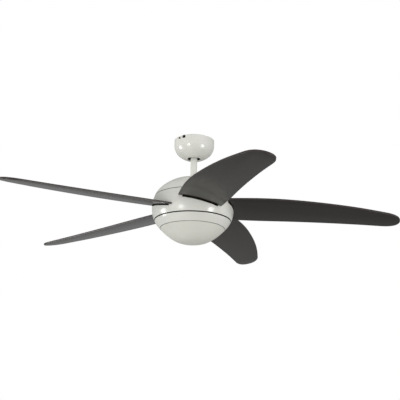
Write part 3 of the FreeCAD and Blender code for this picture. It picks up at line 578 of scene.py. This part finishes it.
materials = {
    "white_paint": paint("white_paint", WHITE),
    "white_screw": paint("white_screw", shade(WHITE, 1.03), 0.25),
    "zinc_steel": metal("zinc_steel", (0.56, 0.57, 0.56), 0.33),
    "dark_steel": metal("dark_steel", (0.10, 0.10, 0.10), 0.4),
    "black_plastic": plastic("black_plastic", (0.012, 0.012, 0.012), 0.6),
    "terminal_plastic": plastic("terminal_plastic", (0.72, 0.71, 0.66), 0.5),
    "cast_iron": metal("cast_iron", (0.13, 0.13, 0.13), 0.55, scale=900.0, bump=0.00012),
    "turned_steel": metal("turned_steel", (0.50, 0.50, 0.49), 0.28, (1.0, 1.0, 12.0)),
    "lamination_steel": striped(
        "lamination_steel", (0.14, 0.14, 0.15), (0.36, 0.36, 0.36), "Z", 0.5 * MM, 1.0, 0.4),
    "copper_wire": striped(
        "copper_wire", (0.20, 0.06, 0.02), (0.62, 0.22, 0.09), "Z", 0.9 * MM, 0.6, 0.3),
    "cast_aluminium": metal("cast_aluminium", (0.60, 0.60, 0.60), 0.45, scale=700.0, bump=0.00008),
    "bearing_steel": metal("bearing_steel", (0.62, 0.62, 0.62), 0.12, (1.0, 1.0, 8.0)),
    "bracket_paint": paint("bracket_paint", (0.015, 0.015, 0.015), 0.5, 0.1),
    "capacitor_plastic": plastic("capacitor_plastic", (0.02, 0.02, 0.02), 0.25),
    "white_ceramic": plastic("white_ceramic", (0.74, 0.73, 0.68), 0.55, 1400.0),
    "soft_seal": plastic("soft_seal", (0.62, 0.62, 0.60), 0.6),
    "dark_wood": dark_wood(),
    "opal_glass": opal_glass(),
    "lamp_quartz": quartz(),
}
# Painted shade: the inner faces of the cap, band, pan and canopy shells are near black, standing in for the shade
# inside them.
interior_painted_shade = paint("painted_shade_interior", (0.030, 0.030, 0.029), 0.5, 0.1)
edge_band = plastic("edge_band", WOOD_EDGE, 0.4)
white_paint = materials["white_paint"]


# ---------------------------------------------------------------- round body
def add_cap():
    """Dome with the collar that drops into the band, and the disc that closes it round the rod."""
    line = smooth_line(CAP_OUTLINE, 10)
    inner = [point for point in inset(line, SHEET)[::-1] if point[1] > CAP_BACK_ABOVE]
    profile = line + [(CAP_HOLE_R, CAP_TOP), (CAP_HOLE_R, CAP_TOP - SHEET)] + inner
    profile += [(COLLAR_IN, COLLAR_TOP), (COLLAR_IN, LEDGE), (COLLAR_R, LEDGE)]
    profile += [(COLLAR_R, CAP_OUTLINE[0][1])]
    cap = spun("housing_cap_shell", soften(profile, EDGE_ROUND), [white_paint, interior_painted_shade],
               BLADE_PLANE, away_from(CAP_OUTLINE + [(CAP_HOLE_R, CAP_TOP)]))
    place_on(cap, "rotor", "white_paint", "housing_cap")
    disc = [(HUB_COVER_HOLE_R, CAP_TOP), (HUB_COVER_R, CAP_TOP)]
    disc += [(HUB_COVER_R, CAP_TOP + SHEET), (HUB_COVER_HOLE_R, CAP_TOP + SHEET)]
    cover = spun("hub_cover_disc", soften(disc, EDGE_ROUND), [white_paint], BLADE_PLANE)
    place_on(cover, "rotor", "white_paint", "hub_cover")


def blade_matrix(number):
    """From the blade's own frame (X outward, Y to the trailing side, Z up) to the fan."""
    angle = math.radians(BLADE_FIRST_ANGLE + 360.0 / BLADE_COUNT * number)
    turn = Matrix.Rotation(angle, 4, "Z")
    droop = Matrix.Rotation(math.radians(BLADE_DROOP), 4, "Y")
    pitch = Matrix.Rotation(math.radians(-BLADE_PITCH), 4, "X")
    return Matrix.Translation((0, 0, BLADE_PLANE)) @ turn @ droop @ pitch


def add_band():
    """Widest shell, with a ledge for the cap, a flange below and a slot for each blade."""
    line = smooth_line(BAND_OUTLINE, 8)
    back = inset(line, SHEET)[::-1]
    upper = [point for point in back if point[1] > LEDGE + 1]
    lower = [point for point in back if LEDGE - 2.5 > point[1] > -35]
    foot = BAND_OUTLINE[0][1]
    profile = line + upper + [(LEDGE_IN, LEDGE), (LEDGE_IN, LEDGE - SHEET)] + lower
    profile += [(COLLAR_R, foot + SHEET), (FLANGE_IN, foot + SHEET), (FLANGE_IN, foot)]
    band = spun("housing_band_shell", soften(profile, EDGE_ROUND), [white_paint, interior_painted_shade],
                BLADE_PLANE, away_from(BAND_OUTLINE), BAND_STEPS)
    low, high = Vector(SLOT_LOW) * MM, Vector(SLOT_HIGH) * MM
    cut_away(band, [block("slot", low, high, blade_matrix(number)) for number in range(BLADE_COUNT)])
    place_on(band, "rotor", "white_paint", "housing_band")


def add_pan():
    """Fixed pan: conical wall, top plate, reflector posts and a lip with a notch for each lug."""
    line = smooth_line(RING_OUTLINE, 10)
    lip_top, under_plate = PAN_LIP + SHEET, PAN_TOP - SHEET
    back = [point for point in inset(line, SHEET) if -62.8 < point[1] < -43.3]
    profile = line + [(PAN_LIP_IN, PAN_LIP), (PAN_LIP_IN, lip_top), (PAN_LIP_OUT, lip_top)]
    profile += back[::-1] + [(PAN_PLATE_IN, under_plate), (PAN_HOLE_R, under_plate)]
    profile += [(PAN_HOLE_R, PAN_TOP)]
    pan = spun("light_pan_shell", soften(profile, EDGE_ROUND), [white_paint, interior_painted_shade],
               BLADE_PLANE, away_from(RING_OUTLINE))
    low, high = BLADE_PLANE / MM - 65.5, BLADE_PLANE / MM - 62.5
    turns = [GLASS_TWIST + 360.0 / LUG_COUNT * k for k in range(LUG_COUNT)]
    cut_away(pan, [ring_slice("notch", *NOTCH, low, high, turn, NOTCH_WIDTH) for turn in turns])
    posts = []
    for k in range(POST_COUNT):
        post = spun("post", POST_PROFILE, [], BLADE_PLANE, None, 24)
        turn = math.radians(POST_FIRST_ANGLE + 360 / POST_COUNT * k)
        place = (POST_CIRCLE * math.cos(turn), POST_CIRCLE * math.sin(turn), 0)
        post.data.transform(Matrix.Translation(place))
        posts.append(post)
    merge(pan, posts)
    place_on(pan, "stem", "white_paint", "light_pan")


def add_glass():
    """Opal bowl with an upright neck and three lugs."""
    line = smooth_line(GLASS_OUTLINE, 8)
    inner = [point for point in inset(line, GLASS_WALL)[::-1] if point[1] < -68.6]
    inner[0] = (0, GLASS_OUTLINE[-1][1] + GLASS_WALL)
    glass = spun("glass_bowl_body", line + inner + GLASS_NECK, [materials["opal_glass"]], BLADE_PLANE)
    low, high = BLADE_PLANE / MM + LUG_LOW, BLADE_PLANE / MM + LUG_HIGH
    turns = [360.0 / LUG_COUNT * k for k in range(LUG_COUNT)]
    merge(glass, [ring_slice("lug", *LUG, low, high, turn, LUG_WIDTH) for turn in turns])
    place_on(glass, "glass", "opal_glass", "glass_bowl")


# ---------------------------------------------------------------- canopy and rod
CANOPY_OUTLINE = [
    (64.8, -1.75), (64.8, -10), (64.8, -18), (64.1, -26.6), (62.1, -34.1), (58.9, -41.2),
    (54.5, -47.6), (48.6, -53.3), (42, -58.1), (36, -61.6), (29.5, -64.1), (22.5, -65.1),
]
CANOPY_WALL = 1.2
LIP_CENTRE = (22.5, -63.1)
LIP_RADIUS = 2.0
LIP_STEPS = 6
LIP_FACE = [(20.8, -64.2), (20.5, -63.1)]
ROD_R = 10.65
ROD_BORE_R = 8.65
CANOPY_SCREW_ANGLE = -129.5
CANOPY_SCREW_OUT = 65 * MM
CANOPY_SCREW_Z = -8.0 * MM
ENTRY_FROM_SCREW = 8.7
ENTRY_LOW = (60 * MM, -4.7 * MM, -11.5 * MM)
ENTRY_HIGH = (70 * MM, 4.7 * MM, 5 * MM)
RUN_LOW = -10.8
RUN_HIGH = -5.2
RUN_SWEEP = 20.7
SCREW_HEAD = [
    (0.0, 2.45), (1.6, 2.35), (2.9, 1.95), (3.8, 1.2), (4.2, 0.4), (4.2, 0.05), (1.95, 0.0),
    (1.95, -5.8), (0, -5.8),
]
RECESS_LOW = (-2.1 * MM, -0.4 * MM, 1.1 * MM)
RECESS_HIGH = (2.1 * MM, 0.4 * MM, 4 * MM)


def lip_arc(radius, start, end):
    """Points on the rolled lip, between two angles measured from straight down towards the axis."""
    points = []
    for k in range(LIP_STEPS + 1):
        turn = math.radians(start + (end - start) * k / LIP_STEPS)
        points.append((LIP_CENTRE[0] - radius * math.sin(turn), LIP_CENTRE[1] - radius * math.cos(turn)))
    return points


def add_canopy():
    """Pressed cover with a rolled lip and two hooked slots for its screws."""
    outer = smooth_line(CANOPY_OUTLINE, 8)[:-1]
    inner = inset(outer, CANOPY_WALL)
    profile = outer + lip_arc(LIP_RADIUS, 0, 90) + lip_arc(LIP_RADIUS - CANOPY_WALL, 90, 0)
    profile += inner[::-1]
    canopy = spun("canopy_shell", profile, [white_paint, interior_painted_shade], 0.0,
                  away_from(CANOPY_OUTLINE + LIP_FACE, 0.7))
    entry_angle = CANOPY_SCREW_ANGLE + ENTRY_FROM_SCREW
    cutters = []
    for side in (0, 180):
        entry = Matrix.Rotation(math.radians(entry_angle + side), 4, "Z")
        cutters.append(block("entry", ENTRY_LOW, ENTRY_HIGH, entry))
        middle = entry_angle + side - RUN_SWEEP / 2
        cutters.append(ring_slice("run", 60, 70, RUN_LOW, RUN_HIGH, middle, RUN_SWEEP))
    cut_away(canopy, cutters)
    place_on(canopy, "root", "white_paint", "canopy")


def add_downrod():
    """Painted pipe with softened ends, as long as the CAD's rod."""
    low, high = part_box("downrod")
    top, bottom = high.z / MM, low.z / MM
    profile = [(ROD_R, bottom), (ROD_R, -150), (ROD_R, -66), (ROD_R, top)]
    profile += [(ROD_BORE_R, top), (ROD_BORE_R, bottom)]
    rod = spun("downrod_tube", soften(profile, 0.5), [white_paint], steps=96)
    place_on(rod, "stem", "white_paint", "downrod")


def add_canopy_screws():
    """Pan heads with a cross recess, on the two screws that hold the canopy."""
    screws = []
    for side in (0, 180):
        screw = spun("canopy_screw_heads", SCREW_HEAD, [materials["white_screw"]], steps=40)
        bars = []
        for twist in (20, 110):
            bar_turn = Matrix.Rotation(math.radians(twist), 4, "Z")
            bars.append(block("bar", RECESS_LOW, RECESS_HIGH, bar_turn))
        cut_away(screw, bars)
        turn = Matrix.Rotation(math.radians(CANOPY_SCREW_ANGLE + side), 4, "Z")
        outward = Matrix.Rotation(math.radians(90), 4, "Y")
        place = Matrix.Translation((CANOPY_SCREW_OUT, 0, CANOPY_SCREW_Z))
        screw.data.transform(turn @ place @ outward)
        screws.append(screw)
    merge(screws[0], screws[1:])
    place_on(screws[0], "root", "white_screw", "canopy_screws")


# ---------------------------------------------------------------- blades
def blade_mesh():
    """Board with rounded arrises: top and bottom laminate in slot 0, edge band in slot 1."""
    outline = smooth_line(BLADE_EDGE, 14) + BLADE_ROOT
    bm = bmesh.new()
    low = [bm.verts.new((x * MM, -offset * MM, 0.0)) for x, offset in outline]
    high = [bm.verts.new((x * MM, -offset * MM, BLADE_THICK)) for x, offset in outline]
    bm.faces.new(low)
    bm.faces.new(high[::-1])
    count = len(outline)
    for k in range(count):
        face = bm.faces.new([low[k], low[(k + 1) % count], high[(k + 1) % count], high[k]])
        face.material_index = 1
    bmesh.ops.recalc_face_normals(bm, faces=bm.faces)
    rims = [e for e in bm.edges if len({f.material_index for f in e.link_faces}) == 2]
    bmesh.ops.bevel(bm, geom=rims, offset=BLADE_ARRIS, segments=3, profile=0.6, affect="EDGES",
                    material=1, clamp_overlap=True)
    bmesh.ops.triangulate(bm, faces=[f for f in bm.faces if len(f.verts) > 4])
    return bm


def keep_grain(mesh):
    """Stores each corner's place in the blade's own frame, which the wood's grain follows."""
    places = mesh.attributes.new("grain", "FLOAT_VECTOR", "POINT")
    for corner in mesh.vertices:
        places.data[corner.index].vector = corner.co


def add_blades():
    """Five boards, each with its place in its mesh."""
    for number in range(BLADE_COUNT):
        name = "blade_board_%d" % (number + 1)
        blade = finish_mesh(name, blade_mesh(), [materials["dark_wood"], edge_band], 40)
        keep_grain(blade.data)
        blade.data.transform(blade_matrix(number))
        place_on(blade, "rotor", "dark_wood", "blade_%d" % (number + 1))


# ---------------------------------------------------------------- carried-over CAD parts
def dress_cad_nodes():
    """Every CAD node that still shows gets its slot's material and a fine bevel."""
    slots = {entry["node"]: entry["material_slot"] for entry in frame["record"]["subparts"]}
    for name, node in frame["nodes"].items():
        if node.hide_render:
            continue
        node.data.materials.clear()
        node.data.materials.append(materials[slots[name]])
        bevel = node.modifiers.new("bevel", "BEVEL")
        bevel.width = CAD_BEVEL
        bevel.segments = 2
        bevel.limit_method = "ANGLE"
        bevel.angle_limit = math.radians(40)
        bevel.harden_normals = False


# ---------------------------------------------------------------- room
FLOOR_LEVEL = -4.0
FLOOR_RADIUS = 22.0
FLOOR_COLOUR = (0.62, 0.62, 0.61)
FLOOR_ROUGH = 0.7
FLOOR_MOTTLE = 3.0


def add_floor():
    """Plain pale disc far enough below the fan for a view from underneath."""
    bm = bmesh.new()
    bmesh.ops.create_circle(bm, cap_ends=True, segments=96, radius=FLOOR_RADIUS)
    mesh = bpy.data.meshes.new("floor")
    bm.to_mesh(mesh)
    bm.free()
    floor_paint = plastic("floor_paint", FLOOR_COLOUR, FLOOR_ROUGH, FLOOR_MOTTLE, 0.0)
    floor = link("floor", mesh, [floor_paint])
    floor.location.z = FLOOR_LEVEL


# Strength of the studio's light by direction: level below and above, behind the fan and in front.
SKY_LOW, SKY_HIGH = 0.97, 0.86
SKY_BEHIND, SKY_FRONT = 0.52, 1.32


def add_world():
    """White to the camera; a soft studio that is a little darker behind the fan."""
    world = bpy.data.worlds.new("studio")
    bpy.context.scene.world = world
    world.use_nodes = True
    tree = world.node_tree
    tree.nodes.clear()
    output = tree.nodes.new("ShaderNodeOutputWorld")
    seen = tree.nodes.new("ShaderNodeBackground")
    seen.inputs["Color"].default_value = (1, 1, 1, 1)
    seen.inputs["Strength"].default_value = 1.0
    light = tree.nodes.new("ShaderNodeBackground")
    place = tree.nodes.new("ShaderNodeTexCoord")
    split = tree.nodes.new("ShaderNodeSeparateXYZ")
    tree.links.new(place.outputs["Generated"], split.inputs["Vector"])
    product = tree.nodes.new("ShaderNodeMath")
    product.operation = "MULTIPLY"
    for k, (axis, low, high, first, last) in enumerate((
            ("Z", -0.5, 0.9, SKY_LOW, SKY_HIGH), ("Y", -0.8, 0.8, SKY_FRONT, SKY_BEHIND))):
        ramp = tree.nodes.new("ShaderNodeMapRange")
        ramp.inputs["From Min"].default_value = low
        ramp.inputs["From Max"].default_value = high
        ramp.inputs["To Min"].default_value = first
        ramp.inputs["To Max"].default_value = last
        tree.links.new(split.outputs[axis], ramp.inputs["Value"])
        tree.links.new(ramp.outputs["Result"], product.inputs[k])
    tree.links.new(product.outputs["Value"], light.inputs["Strength"])
    path = tree.nodes.new("ShaderNodeLightPath")
    mix = tree.nodes.new("ShaderNodeMixShader")
    tree.links.new(path.outputs["Is Camera Ray"], mix.inputs["Fac"])
    tree.links.new(light.outputs["Background"], mix.inputs[1])
    tree.links.new(seen.outputs["Background"], mix.inputs[2])
    tree.links.new(mix.outputs["Shader"], output.inputs["Surface"])


# Each light: the direction from the fan that it stands in, its width, height and power in watts.
LIGHTS = {
    "left_light": ((-0.93, 0.04, -0.28), 0.70, 0.95, 38.0),
    "front_light": ((-0.50, -0.77, -0.30), 0.60, 0.90, 19.0),
    "right_light": ((0.74, -0.55, -0.38), 0.65, 0.95, 33.0),
}


LIGHT_TARGET = Vector((0, 0, -0.10))
LIGHT_DISTANCE = 3.0


def add_lights():
    """Soft rectangular lights that face the fan's middle."""
    for name, (direction, width, height, power) in LIGHTS.items():
        data = bpy.data.lights.new(name, "AREA")
        data.shape = "RECTANGLE"
        data.size = width
        data.size_y = height
        data.energy = power
        lamp = bpy.data.objects.new(name, data)
        way = Vector(direction).normalized()
        lamp.location = LIGHT_TARGET + way * LIGHT_DISTANCE
        lamp.rotation_mode = "QUATERNION"
        lamp.rotation_quaternion = way.to_track_quat("Z", "Y")
        bpy.context.scene.collection.objects.link(lamp)


# ---------------------------------------------------------------- the scene
bpy.context.scene.view_settings.view_transform = "Standard"
add_camera()
add_world()
add_lights()
add_floor()
add_cap()
add_band()
add_pan()
add_glass()
add_canopy()
add_downrod()
add_canopy_screws()
add_blades()
dress_cad_nodes()
